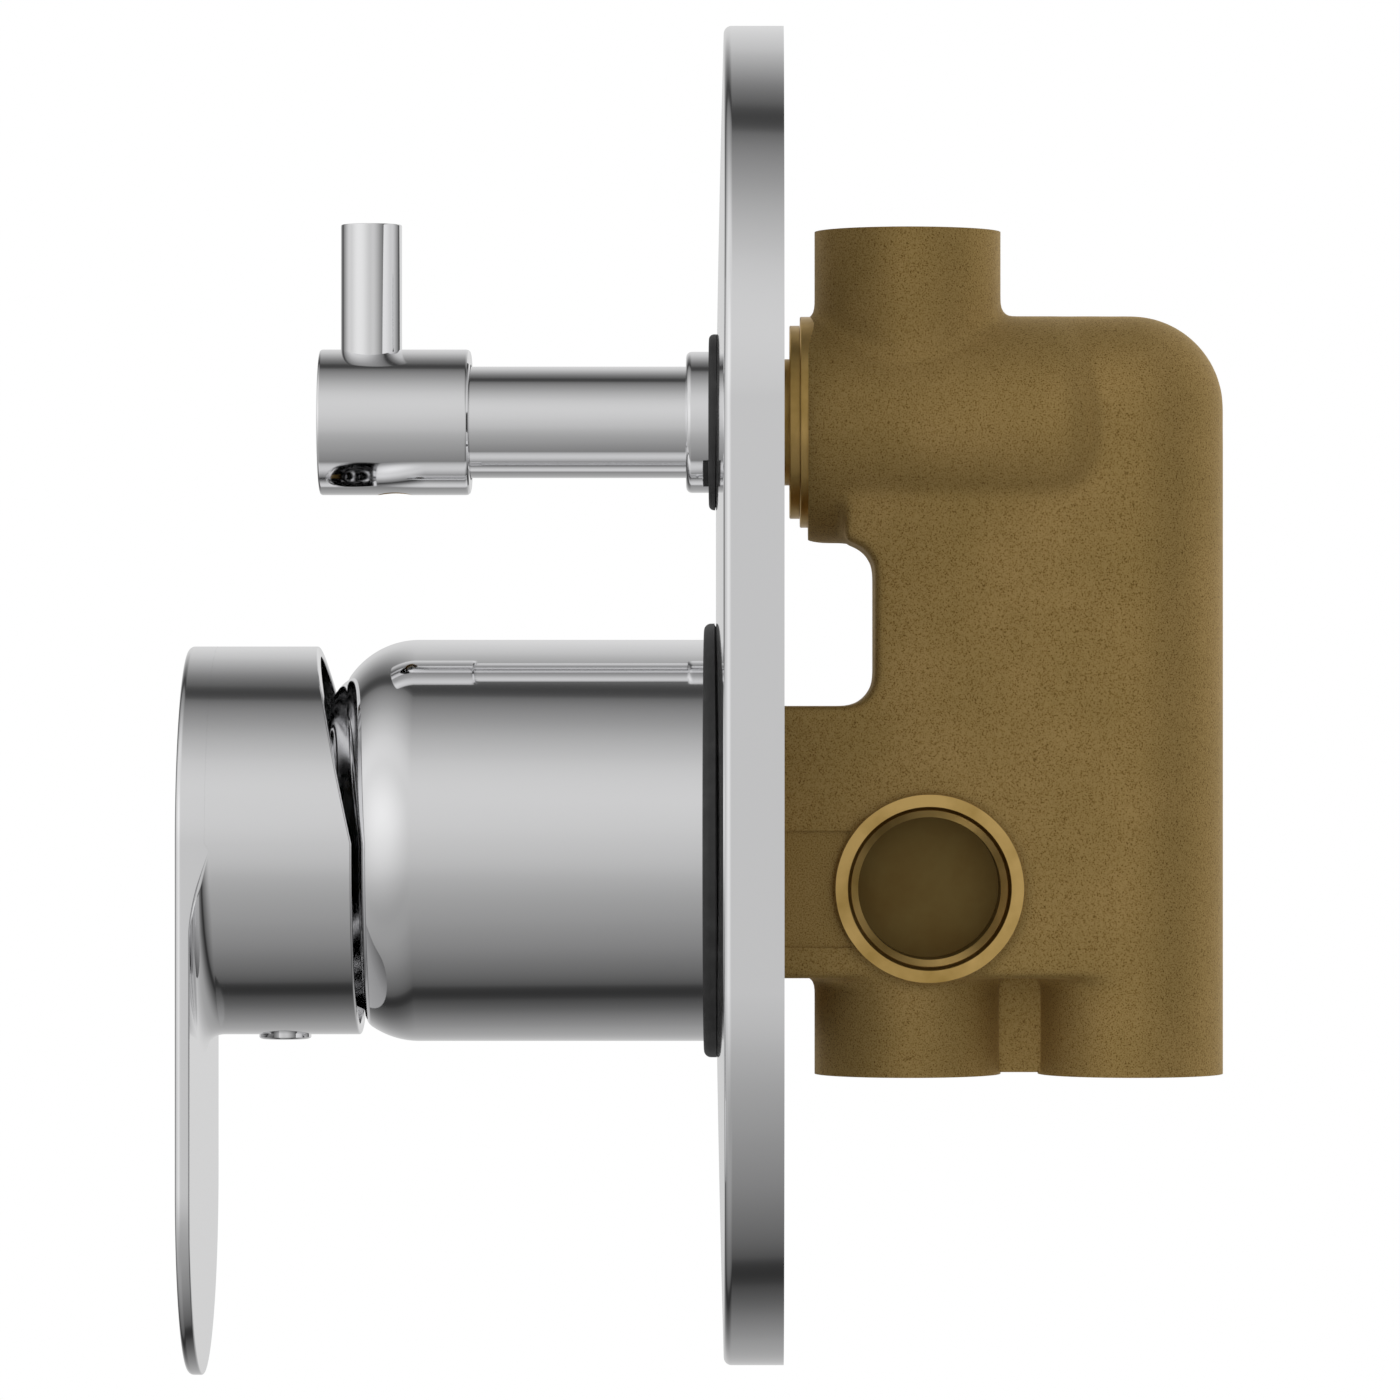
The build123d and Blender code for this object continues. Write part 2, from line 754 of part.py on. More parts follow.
def diverter_seals():
    radius = chamber_radius - seal_section / 2 - running_fit / 2
    first, second = seal_places
    front = ring_seal(seal_section, radius, first, diverter_height)
    rear = ring_seal(seal_section, radius, second, diverter_height)
    return Compound([front, rear])


def diverter_moving_disc():
    disc = bar(cage_bore - air, turning_disc_front, turning_disc_rear, diverter_height)
    width = tongue_width / 2 + seat_fit
    half = tongue_thickness / 2 + seat_fit
    slot = brick(-width, width, turning_disc_front, turning_disc_front + tongue_length + seat_fit,
                 diverter_height - half, diverter_height + half)
    port = bar(disc_port, turning_disc_front, turning_disc_rear, diverter_height - disc_port_reach)
    return disc - slot - port


def diverter_fixed_disc():
    disc = bar(cage_bore - seat_fit, still_disc_front, still_disc_rear, diverter_height)
    return disc - disc_ports(still_disc_front, still_disc_rear)


def diverter_spindle():
    flange_front = gland_rear + 2 * air
    flange_rear = flange_front + spindle_flange_length
    spindle = bar(spindle_radius, spindle_front, flange_front, diverter_height)
    spindle = chamfer(spindle.edges().filter_by(GeomType.CIRCLE).sort_by(Axis.Y)[0], edge_break)
    spindle += bar(spindle_flange_radius, flange_front, flange_rear, diverter_height)
    tongue_rear = turning_disc_front + tongue_length
    spindle += brick(-tongue_width / 2, tongue_width / 2, flange_rear, tongue_rear,
                     diverter_height - tongue_thickness / 2, diverter_height + tongue_thickness / 2)
    return spindle


def diverter_collar():
    step = small_gasket_front
    front_bore = neck_radius + seat_fit
    bore = gland_neck_radius + seat_fit
    collar = turned_points([
        (collar_front, front_bore), (collar_front, collar_radius), (collar_rear, collar_radius),
        (collar_rear, bore), (step, bore), (step, front_bore),
    ], diverter_height)
    edge = collar.edges().group_by(Axis.Y)[0].sort_by(SortBy.RADIUS)[-1]
    return fillet(edge, collar_edge_round)


def diverter_neck():
    flange_front = small_gasket_front + seat_fit
    rear = flange_front + neck_flange
    return turned_points([
        (neck_front, neck_bore), (neck_front, neck_radius - edge_break),
        (neck_front + edge_break, neck_radius), (flange_front, neck_radius),
        (flange_front, gland_neck_radius), (rear, gland_neck_radius), (rear, neck_bore),
    ], diverter_height)


def diverter_knob():
    knob = bar(knob_radius, knob_front, knob_rear, diverter_height)
    rims = knob.edges().filter_by(GeomType.CIRCLE).sort_by(Axis.Y)
    knob = chamfer(rims[0], knob_front_chamfer)
    rims = knob.edges().filter_by(GeomType.CIRCLE).sort_by(Axis.Y)
    knob = fillet(rims[-1], knob_rear_round)
    recess = neck_front - 2 * air
    knob -= bar(neck_radius + air, recess, knob_rear, diverter_height)
    knob -= bar(spindle_radius + running_fit, spindle_front - air, recess, diverter_height)
    seat = diverter_height + knob_radius - lever_pin_sink
    knob -= upright(lever_pin_radius + running_fit, seat, seat + knob_radius, lever_pin_y)
    knob -= upright(lever_pin_spigot + running_fit, diverter_height, seat, lever_pin_y)
    knob -= upright(knob_screw_radius + running_fit, diverter_height - 2 * knob_radius,
                    diverter_height, knob_screw_y)
    return knob


def diverter_pin():
    seat = diverter_height + knob_radius - lever_pin_sink
    spigot = diverter_height + spindle_radius + air
    pin = upright(lever_pin_radius, seat, lever_pin_top, lever_pin_y)
    pin = fillet(pin.edges().sort_by(Axis.Z)[-1], lever_pin_round)
    return pin + upright(lever_pin_spigot, spigot, seat, lever_pin_y)


def knob_grub_screw():
    return set_screw(knob_screw_radius, knob_screw_length, knob_screw_y, -spindle_radius,
                     diverter_height)


for name, make in {
    "valve_body": valve_body,
    "cartridge_base": cartridge_base,
    "cartridge_seal": cartridge_seal,
    "fixed_disc": fixed_disc,
    "moving_disc": moving_disc,
    "disc_carrier": disc_carrier,
    "cartridge_housing": cartridge_housing,
    "cartridge_rotor": cartridge_rotor,
    "stem_pin": stem_pin,
    "lever_stem": lever_stem,
    "cartridge_nut": cartridge_nut,
    "dome_cover": dome_cover,
    "sleeve": sleeve,
    "sleeve_o_ring": sleeve_o_ring,
    "sleeve_gasket": sleeve_gasket,
    "plate": plate,
    "lever_handle": lever_handle,
    "handle_grub_screw": handle_grub_screw,
    "index_plug": index_plug,
    "diverter_gland": diverter_gland,
    "diverter_cartridge": diverter_cartridge,
    "diverter_seals": diverter_seals,
    "diverter_fixed_disc": diverter_fixed_disc,
    "diverter_moving_disc": diverter_moving_disc,
    "diverter_spindle": diverter_spindle,
    "diverter_collar": diverter_collar,
    "diverter_neck": diverter_neck,
    "diverter_gasket": diverter_gasket,
    "diverter_knob": diverter_knob,
    "diverter_pin": diverter_pin,
    "knob_grub_screw": knob_grub_screw,
}.items():
    export_step(make(), f"parts/{name}.step")
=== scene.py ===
from math import asin, cos, hypot, pi, radians, sin, sqrt, tan

import bpy
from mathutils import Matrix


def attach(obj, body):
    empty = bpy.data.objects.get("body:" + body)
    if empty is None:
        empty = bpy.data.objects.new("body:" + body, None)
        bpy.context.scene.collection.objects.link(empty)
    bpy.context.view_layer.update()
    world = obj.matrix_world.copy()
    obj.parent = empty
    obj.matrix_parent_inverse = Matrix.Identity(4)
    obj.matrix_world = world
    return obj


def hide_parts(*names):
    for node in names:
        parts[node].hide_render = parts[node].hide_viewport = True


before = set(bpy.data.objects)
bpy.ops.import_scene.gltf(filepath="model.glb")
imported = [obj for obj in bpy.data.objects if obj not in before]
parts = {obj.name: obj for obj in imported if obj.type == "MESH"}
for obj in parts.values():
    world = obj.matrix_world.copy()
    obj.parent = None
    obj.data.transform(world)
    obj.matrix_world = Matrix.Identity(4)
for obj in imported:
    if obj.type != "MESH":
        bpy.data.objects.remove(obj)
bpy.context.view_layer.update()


# Camera
# A long lens stands square to the valve's right side, level with its middle. The lens is
# shifted a little, so that the valve sits in the frame as it does in the photograph.
MM = 0.001
sensor = 36
view_distance = 1003.5
frame_width = 188.6
lens_y, lens_z = -2.5, 18.2
middle_y, middle_z = -11.25, 18.9
bpy.ops.object.select_all(action="DESELECT")
bpy.ops.object.camera_add(
    location=(view_distance * MM, lens_y * MM, lens_z * MM), rotation=(pi / 2, 0, pi / 2)
)
camera = bpy.context.object
camera.data.sensor_width = sensor
camera.data.lens = sensor * view_distance / frame_width
camera.data.shift_x = (middle_y - lens_y) / frame_width
camera.data.shift_y = (middle_z - lens_z) / frame_width
bpy.context.scene.camera = camera
bpy.context.scene.view_settings.view_transform = "Standard"


# Studio
# A white room with a dark gap all round, between the light in front and the white wall
# behind. Polished metal shows the gap as soft dark bands. The eye sees the room as white.
def linear(colour):
    """An sRGB hex colour as the linear colour that shaders work in."""
    channels = [int(colour[i:i + 2], 16) / 255 for i in (1, 3, 5)]
    return [c / 12.92 if c < 0.04045 else ((c + 0.055) / 1.055) ** 2.4 for c in channels] + [1.0]


def add(tree, kind, inputs=None, **settings):
    """A node with its settings, and its inputs as values or as the sockets that feed them."""
    made = tree.nodes.new("ShaderNode" + kind)
    for name, value in settings.items():
        setattr(made, name, value)
    for name, value in (inputs or {}).items():
        if isinstance(value, bpy.types.NodeSocket):
            tree.links.new(value, made.inputs[name])
        else:
            made.inputs[name].default_value = value
    return made


def colour_steps(ramp, steps):
    """Fills a colour ramp from (position, hex colour) pairs."""
    elements = ramp.color_ramp.elements
    for position, colour in steps[1:-1]:
        elements.new(position).color = linear(colour)
    for element, (position, colour) in zip((elements[0], elements[-1]), (steps[0], steps[-1])):
        element.position = position
        element.color = linear(colour)


def brightness(tree, share, steps):
    """Light by a share from 0 to 1: steps are (share, amount of light)."""
    curve = add(tree, "FloatCurve", {"Value": share})
    points = curve.mapping.curves[0].points
    points[0].location = steps[0]
    points[1].location = steps[-1]
    for step in steps[1:-1]:
        points.new(*step)
    curve.mapping.update()
    return curve.outputs[0]


def away_from(tree, direction, axis):
    """The angle between a direction and an axis, as a share of half a turn."""
    length = sqrt(sum(a * a for a in axis))
    facing = add(tree, "VectorMath", {0: direction, 1: [a / length for a in axis]},
                 operation="DOT_PRODUCT")
    angle = add(tree, "Math", {0: facing.outputs["Value"]}, operation="ARCCOSINE")
    return add(tree, "Math", {0: angle.outputs[0], 1: pi}, operation="DIVIDE").outputs[0]


studio = bpy.data.worlds.new("studio")
studio.use_nodes = True
bpy.context.scene.world = studio
room = studio.node_tree
room.nodes.clear()
direction = add(room, "TexCoord").outputs["Generated"]
light_side, window_side = (0.759, -0.652, 0), (0.35, -0.7, 0.62)
round_the_light = brightness(room, away_from(room, direction, light_side), [
    (angle / 180, light) for angle, light in [
        (0, 0.84), (10, 0.83), (20, 0.78), (30, 0.71), (40, 0.66), (47, 0.675), (53, 0.655),
        (60, 0.58), (67, 0.49), (75, 0.37), (84, 0.25), (88.5, 0.17), (93.8, 0.065), (96, 0.075),
        (99, 0.13), (105, 0.235), (111.6, 0.39), (118.5, 0.545), (126, 0.675), (135, 0.73),
        (140, 0.75), (146, 0.79), (180, 0.8),
    ]
])
height = add(room, "SeparateXYZ", {0: direction})
level = add(room, "MapRange", {0: height.outputs["Z"], 1: -1.0, 2: 1.0})
up_and_down = brightness(room, level.outputs[0], [
    ((z + 1) / 2, light) for z, light in [
        (-1.0, 0.52), (-0.9, 0.51), (-0.8, 0.5), (-0.6, 0.53), (-0.4, 0.635), (-0.2, 0.79),
        (0, 0.875), (0.2, 0.945), (0.35, 0.955), (0.5, 0.925), (0.7, 0.875), (0.9, 0.84),
        (1.0, 0.835),
    ]
])
window = brightness(room, away_from(room, direction, window_side), [
    (angle / 180, light) for angle, light in [
        (0, 1.0), (20, 0.98), (45, 0.89), (60, 0.84), (80, 0.833), (180, 0.833),
    ]
])
gain = 1.2
reflected = add(room, "Math", {0: round_the_light, 1: up_and_down}, operation="MULTIPLY")
reflected = add(room, "Math", {0: reflected.outputs[0], 1: window}, operation="MULTIPLY")
reflected = add(room, "Math", {0: reflected.outputs[0], 1: gain}, operation="MULTIPLY")
soft = add(room, "MapRange", {0: height.outputs["Z"], 1: -1.0, 2: 1.0, 3: 0.55, 4: 1.15})
path = add(room, "LightPath")
seen = add(room, "Mix", {"Factor": path.outputs["Is Glossy Ray"], 6: soft.outputs[0],
                         7: reflected.outputs[0]}, data_type="RGBA")
white = add(room, "Mix", {"Factor": path.outputs["Is Camera Ray"], 6: seen.outputs[2],
                          7: (1, 1, 1, 1)}, data_type="RGBA")
backdrop = add(room, "Background", {"Color": white.outputs[2], "Strength": 1.0})
add(room, "OutputWorld", {"Surface": backdrop.outputs[0]})


# Floor
# A round pale table top, well below the valve, that takes its shadow and fades to the white
# of the room towards its rim.
def blank_material(name):
    """An empty material, its node tree, and the object's own coordinates in it."""
    material = bpy.data.materials.new(name)
    material.use_nodes = True
    tree = material.node_tree
    tree.nodes.clear()
    return material, tree, add(tree, "TexCoord").outputs["Object"]


floor_height, floor_radius = -250, 1100
fade_start, fade_end = 350, 1000
bpy.ops.object.select_all(action="DESELECT")
bpy.ops.mesh.primitive_circle_add(
    vertices=96, radius=floor_radius * MM, fill_type="NGON", location=(0, 0, floor_height * MM)
)
floor = bpy.context.object
floor.name = "floor"
paint, tree, place = blank_material("pale_matt_paint")
reach = add(tree, "VectorMath", {0: place}, operation="LENGTH")
rim = add(tree, "MapRange", {0: reach.outputs["Value"], 1: fade_start * MM, 2: fade_end * MM},
          clamp=True)
matt = add(tree, "BsdfDiffuse", {"Color": linear("#f2f2f0")})
glow = add(tree, "Emission", {"Color": (1, 1, 1, 1), "Strength": 1.0})
fade = add(tree, "MixShader", {0: rim.outputs[0], 1: matt.outputs[0], 2: glow.outputs[0]})
add(tree, "OutputMaterial", {"Surface": fade.outputs[0]})
floor.data.materials.append(paint)
floor.visible_glossy = False


# Valve body
# Brass, sand cast in one piece and blasted all over, then turned and bored at its ports and
# barrel. The rough casting is made first and the machined faces are cut into it.
def brass_casting():
    """Sand-cast brass, blasted: matt, with a fine grain and small dark pits of sand."""
    metal, tree, place = blank_material("sand_cast_brass")
    cloud_size, grain_size, pit_size = 14, 0.3, 0.2
    clouds = add(tree, "TexNoise", {"Vector": place, "Scale": 1 / (cloud_size * MM), "Detail": 3.0})
    grain = add(tree, "TexNoise", {"Vector": place, "Scale": 1 / (grain_size * MM), "Detail": 4.0})
    pits = add(tree, "TexNoise", {"Vector": place, "Scale": 1 / (pit_size * MM), "Detail": 4.0,
                                  "Roughness": 0.6})
    tone = add(tree, "ValToRGB", {"Fac": clouds.outputs["Fac"]})
    colour_steps(tone, [(0.3, "#b2975d"), (0.5, "#b79b61"), (0.7, "#bea167")])
    fleck = add(tree, "ValToRGB", {"Fac": pits.outputs["Fac"]})
    colour_steps(fleck, [(0.3, "#857354"), (0.42, "#ded5c6"), (0.53, "#ffffff")])
    sand = add(tree, "Mix", {"Factor": 1.0, 6: tone.outputs["Color"], 7: fleck.outputs["Color"]},
               data_type="RGBA", blend_type="MULTIPLY")
    bump = add(tree, "Bump", {"Strength": 0.35, "Distance": 0.12 * MM,
                              "Height": grain.outputs["Fac"]})
    shader = add(tree, "BsdfPrincipled", {
        "Base Color": sand.outputs[2], "Metallic": 0.85, "Roughness": 0.62,
        "Sheen Weight": 0.3, "Sheen Roughness": 0.35, "Sheen Tint": linear("#e8c98c"),
        "Normal": bump.outputs[0],
    })
    add(tree, "OutputMaterial", {"Surface": shader.outputs[0]})
    return metal


def turned_brass(name, colour, shade, roughness, lathe_pitch):
    """Brass fresh from the lathe: bright, with fine rings left by the tool."""
    metal, tree, place = blank_material(name)
    film_size = 6
    stretched = add(tree, "Mapping", {"Vector": place, "Scale": (1, 1 / (lathe_pitch * MM), 1)})
    rings = add(tree, "TexNoise", {"Vector": stretched.outputs[0], "Scale": 1.0, "Detail": 2.0})
    film = add(tree, "TexNoise", {"Vector": place, "Scale": 1 / (film_size * MM), "Detail": 4.0})
    tone = add(tree, "ValToRGB", {"Fac": film.outputs["Fac"]})
    colour_steps(tone, [(0.3, shade), (0.6, colour), (0.8, colour)])
    bump = add(tree, "Bump", {"Strength": 0.15, "Distance": 0.03 * MM,
                              "Height": rings.outputs["Fac"]})
    shader = add(tree, "BsdfPrincipled", {
        "Base Color": tone.outputs["Color"], "Metallic": 1.0, "Roughness": roughness,
        "Normal": bump.outputs[0],
    })
    add(tree, "OutputMaterial", {"Surface": shader.outputs[0]})
    return metal


def pick(piece, *others):
    """Selects these objects alone, the first as the active one."""
    bpy.ops.object.select_all(action="DESELECT")
    for each in (piece, *others):
        each.select_set(True)
    bpy.context.view_layer.objects.active = piece


def settle(piece, name):
    """Puts the piece's place into its mesh and gives it its name."""
    pick(piece)
    bpy.ops.object.transform_apply(location=True, rotation=True, scale=True)
    piece.name = name
    piece.data.name = name
    return piece


def rod(radius, start, end, steps=96):
    """A round bar between two points, in millimetres, along X, Y or Z."""
    span = [e - s for s, e in zip(start, end)]
    middle = [(s + e) / 2 * MM for s, e in zip(start, end)]
    turn = (0, pi / 2, 0) if span[0] else (pi / 2, 0, 0) if span[1] else (0, 0, 0)
    bpy.ops.object.select_all(action="DESELECT")
    bpy.ops.mesh.primitive_cylinder_add(
        vertices=steps, radius=radius * MM, depth=abs(sum(span)) * MM, location=middle,
        rotation=turn,
    )
    return settle(bpy.context.object, "rod")


def slab(low, high):
    """A block between two corners, in millimetres."""
    bpy.ops.object.select_all(action="DESELECT")
    bpy.ops.mesh.primitive_cube_add(
        size=1, location=[(a + b) / 2 * MM for a, b in zip(low, high)],
        scale=[(b - a) * MM for a, b in zip(low, high)],
    )
    return settle(bpy.context.object, "slab")


def finish_with(piece, kind, **settings):
    """Adds a modifier and applies it."""
    pick(piece)
    modifier = piece.modifiers.new(kind.lower(), kind)
    for name, value in settings.items():
        setattr(modifier, name, value)
    bpy.ops.object.modifier_apply(modifier=modifier.name)
    return piece


def cut(piece, tool, operation="DIFFERENCE"):
    """Cuts the tool out of the piece, or joins it on, and takes the tool away."""
    finish_with(piece, "BOOLEAN", operation=operation, object=tool, solver="EXACT",
                material_mode="TRANSFER")
    bpy.data.objects.remove(tool)
    return piece


def smooth(piece, angle):
    """Smooth shading that keeps edges sharper than the angle crisp and large faces true."""
    pick(piece)
    bpy.ops.object.shade_smooth_by_angle(angle=radians(angle))
    return finish_with(piece, "WEIGHTED_NORMAL", keep_sharp=True)


def turned(name, outline, height=0.0):
    """A closed outline of (y, radius) points in millimetres, spun round the line at a height."""
    bpy.ops.object.select_all(action="DESELECT")
    first_y, first_radius = outline[0]
    bpy.ops.mesh.primitive_plane_add(
        size=MM, location=(0, first_y * MM, (height + first_radius) * MM)
    )
    piece = settle(bpy.context.object, name)
    bpy.ops.object.mode_set(mode="EDIT")
    bpy.ops.mesh.select_all(action="SELECT")
    bpy.ops.mesh.merge(type="CENTER")
    for (y0, r0), (y1, r1) in zip(outline, outline[1:]):
        bpy.ops.mesh.extrude_region_move(
            TRANSFORM_OT_translate={"value": (0, (y1 - y0) * MM, (r1 - r0) * MM)}
        )
    bpy.ops.object.mode_set(mode="OBJECT")
    piece.data.edges.add(1)
    piece.data.edges[-1].vertices = (len(outline) - 1, 0)
    bpy.ops.object.mode_set(mode="EDIT")
    bpy.ops.mesh.select_all(action="SELECT")
    bpy.ops.mesh.spin(steps=192, angle=2 * pi, center=(0, 0, height * MM), axis=(0, 1, 0))
    bpy.ops.mesh.select_all(action="SELECT")
    bpy.ops.mesh.remove_doubles(threshold=0.001 * MM)
    bpy.ops.mesh.delete_loose(use_verts=True, use_edges=True, use_faces=False)
    bpy.ops.mesh.select_all(action="SELECT")
    bpy.ops.mesh.normals_make_consistent(inside=False)
    bpy.ops.object.mode_set(mode="OBJECT")
    return piece


def dress(piece, materials, body, nodes):
    """Gives a finished piece its body, its nodes and any materials it still lacks."""
    if materials:
        piece.data.materials.clear()
    for material in materials:
        piece.data.materials.append(material)
    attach(piece, body)
    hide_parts(*nodes)
    return piece


rib = 12.5
block_front, block_top = -2.0, 18.1
slab_front, slab_low = 12.1, -18.2
rear_axis, ridge_height = 46.7, 58.1
outlet_axis, outlet_radius = 16.7, 12.55
outlet_top, outlet_low = 81.9, -31.4
inlet_y, inlet_z, inlet_face = 19.4, -6.2, 13.9
boss_radius, boss_height, boss_round = 15.3, 55.3, 6.0
boss_front, boss_rear = 3.3, 42.6
diverter_height = 56.3
spare = 4
casting = slab((-rib, slab_front, slab_low), (rib, rear_axis, ridge_height))
block = slab((-rib, block_front, slab_low), (rib, slab_front + spare, block_top))
rear_tube = rod(rib, (0, rear_axis, outlet_low - spare), (0, rear_axis, ridge_height))
bpy.ops.object.select_all(action="DESELECT")
bpy.ops.mesh.primitive_uv_sphere_add(
    segments=96, ring_count=48, radius=rib * MM, location=(0, rear_axis * MM, ridge_height * MM)
)
shoulder = settle(bpy.context.object, "shoulder")
ridge = rod(rib, (0, slab_front, ridge_height), (0, rear_axis, ridge_height))
boss = rod(boss_radius, (0, boss_front - spare, boss_height), (0, boss_rear, boss_height))
finish_with(boss, "BEVEL", width=boss_round * MM, segments=8, limit_method="ANGLE")
top_outlet = rod(outlet_radius, (0, outlet_axis, boss_height), (0, outlet_axis, outlet_top + spare))
low_outlet = rod(outlet_radius, (0, outlet_axis, outlet_low - spare),
                 (0, outlet_axis, slab_low + spare))

# The open notch between block and boss has a hollow corner at its foot and one at its top.
notch_round, notch_top = 4, 40
foot_centre, top_centre = block_top + notch_round, notch_top - notch_round
for low, high, centre in ((block_top - 3, foot_centre, foot_centre), (top_centre, 48, top_centre)):
    filler = slab((-rib, slab_front - notch_round, low), (rib, slab_front + 2, high))
    cut(filler, rod(notch_round, (-20, slab_front - notch_round, centre),
                    (20, slab_front - notch_round, centre)))
    pick(block, filler)
    bpy.ops.object.join()
pick(casting, block, rear_tube, shoulder, ridge, boss, top_outlet, low_outlet)
bpy.ops.object.join()
casting = settle(casting, "cast_valve_body")

# All is melted into one skin and smoothed. The web and the bands stay as the mould leaves them.
voxel, finer_voxel = 0.62, 0.6
finish_with(casting, "REMESH", mode="VOXEL", voxel_size=finer_voxel * MM)
inlet_reach = inlet_face + spare
cut(casting, rod(rib, (-inlet_reach, inlet_y, inlet_z), (inlet_reach, inlet_y, inlet_z)), "UNION")
finish_with(casting, "REMESH", mode="VOXEL", voxel_size=voxel * MM)
finish_with(casting, "SMOOTH", factor=0.5, iterations=6)
web_half = 2.7
web = slab((-web_half, outlet_axis, outlet_low + 0.3), (web_half, rear_axis, slab_low + spare))
cut(casting, web, "UNION")
band_depth, band_front, band_low, band_top = 0.5, -6, -14.1, 1.5
for side in (-1, 1):
    near, far = sorted((side * (rib - band_depth), side * (inlet_face - 0.1)))
    strip = slab((near, band_front, band_low), (far, inlet_y, band_top))
    cut(strip, rod(rib + 0.4, (side * 8, inlet_y, inlet_z), (side * 20, inlet_y, inlet_z)))
    cut(casting, strip)

# The machined faces: five ports, the boss's front, the barrel, the face ring and the chamber.
rough_brass = brass_casting()
bright_brass = turned_brass("turned_brass", "#dbb771", "#bb9955", 0.32, 0.12)
# The bores below the port mouths get a rougher brass. Its rougher finish is the drill's; its darker
# colour is painted shade inside the bores.
bore_shade_brass = turned_brass("drilled_brass_painted_shade", "#877142", "#7f6638", 0.5, 0.3)
casting.data.materials.clear()
casting.data.materials.append(rough_brass)
bore_start = -1.9
port_outline = [
    (-13.0, 0.0), (-13.0, 9.5), (bore_start, 9.5), (-1.3, 10.4), (-0.5, 10.5), (0.0, 10.9),
    (0.0, 14.5), (6.0, 14.5), (6.0, 0.0),
]
ports = [
    ((0, outlet_axis, outlet_top), (pi / 2, 0, 0)),
    ((0, outlet_axis, outlet_low), (-pi / 2, 0, 0)),
    ((0, rear_axis, outlet_low), (-pi / 2, 0, 0)),
    ((inlet_face, inlet_y, inlet_z), (0, 0, -pi / 2)),
    ((-inlet_face, inlet_y, inlet_z), (0, 0, pi / 2)),
]
for spot, turn in ports:
    drill = turned("drill", port_outline)
    drill.data.materials.append(bright_brass)
    drill.data.materials.append(bore_shade_brass)
    # Faces deeper than the mouth's chamfer take the second material, whose darker colour paints the
    # shade in the bore.
    for face in drill.data.polygons:
        if face.center.y < bore_start * MM:
            face.material_index = 1
    drill.rotation_euler = turn
    drill.location = [s * MM for s in spot]
    cut(casting, settle(drill, "drill"))
facing = rod(22, (0, -6, boss_height), (0, boss_front, boss_height))
facing.data.materials.append(bright_brass)
clear_of_barrel = slab((-30, -10, -40), (30, 10, 38))
cut(facing, clear_of_barrel)
cut(casting, facing)
barrel_outline = [
    (-2.0, 0.0), (-2.0, 20.5), (-10.0, 20.5), (-10.0, 24.6), (-11.55, 24.6), (-11.55, 23.25),
    (-14.45, 23.25), (-14.45, 24.6), (-16.0, 24.6), (-16.0, 20.5), (-44.0, 20.5), (-44.0, 17.7),
    (-22.0, 17.7), (-22.0, 0.0),
]
barrel = turned("barrel", barrel_outline)
barrel.data.materials.append(bright_brass)
cut(casting, barrel, "UNION")
face_ring = turned("ring", [
    (4.5, 0.0), (4.5, 14.2), (2.32, 14.2), (2.2, 14.08), (2.2, 0.0),
], diverter_height)
face_ring.data.materials.append(bright_brass)
cut(casting, face_ring, "UNION")
chamber_radius, chamber_rear = 11.0, 27
chamber = rod(chamber_radius, (0, -1, diverter_height), (0, chamber_rear, diverter_height), 128)
chamber.data.materials.append(bright_brass)
cut(casting, chamber)
smooth(casting, 32)
dress(casting, [], "root", ["valve_body"])


# Diverter gland
# A brass nut turned from bar, which closes the diverter's housing. Its flange shows as
# bright rings between the casting and the back of the wall plate.
gland = turned("gland_nut", [
    (-8.0, 5.0), (-8.0, 8.5), (0.8, 8.5), (0.8, 12.88), (0.92, 13.0), (2.15, 13.0), (2.15, 10.8),
    (9.0, 10.8), (9.0, 3.55), (0.8, 3.55), (0.8, 5.0),
], diverter_height)
smooth(gland, 30)
dress(gland, [bright_brass], "root", ["diverter_gland"])


# Wall plate
# Brass sheet, pressed to a shallow crowned shell that is open at the back, then polished and
# chromed. The front face bulges slightly both ways and turns into the side wall at the rim.
def chrome(name, roughness=0.045):
    """Bright chrome plate: mirror-like, with the faint waviness of the polished metal below."""
    plated, tree, place = blank_material(name)
    wave_size, haze_size = 9, 25
    wave = add(tree, "TexNoise", {"Vector": place, "Scale": 1 / (wave_size * MM), "Detail": 1.0})
    haze = add(tree, "TexNoise", {"Vector": place, "Scale": 1 / (haze_size * MM), "Detail": 2.0})
    gloss = add(tree, "MapRange", {0: haze.outputs["Fac"], 3: roughness * 0.8, 4: roughness * 1.2})
    bump = add(tree, "Bump", {"Strength": 0.05, "Distance": 0.01 * MM,
                              "Height": wave.outputs["Fac"]})
    shader = add(tree, "BsdfPrincipled", {
        "Base Color": linear("#f6f6f7"), "Metallic": 1.0, "Roughness": gloss.outputs[0],
        "Normal": bump.outputs[0],
    })
    add(tree, "OutputMaterial", {"Surface": shader.outputs[0]})
    return plated


chrome_plate = chrome("chrome_on_brass")
plate_length, plate_width, plate_rise = 180, 105, 19.5
plate_rim, plate_crown, plate_sheet, edge_round = 8.0, 1.3, 1.2, 1.0
sleeve_hole, collar_hole = 28.05, 10.25
end_radius = plate_width / 2
half_straight = (plate_length - plate_width) / 2
ring_size = 256


def crown(x, z):
    """Y of the crowned face above a point of the plate."""
    across = (x / end_radius) ** 2
    along = ((z - plate_rise) / (plate_length / 2)) ** 2
    return -plate_rim - plate_crown + plate_crown * (across + along)


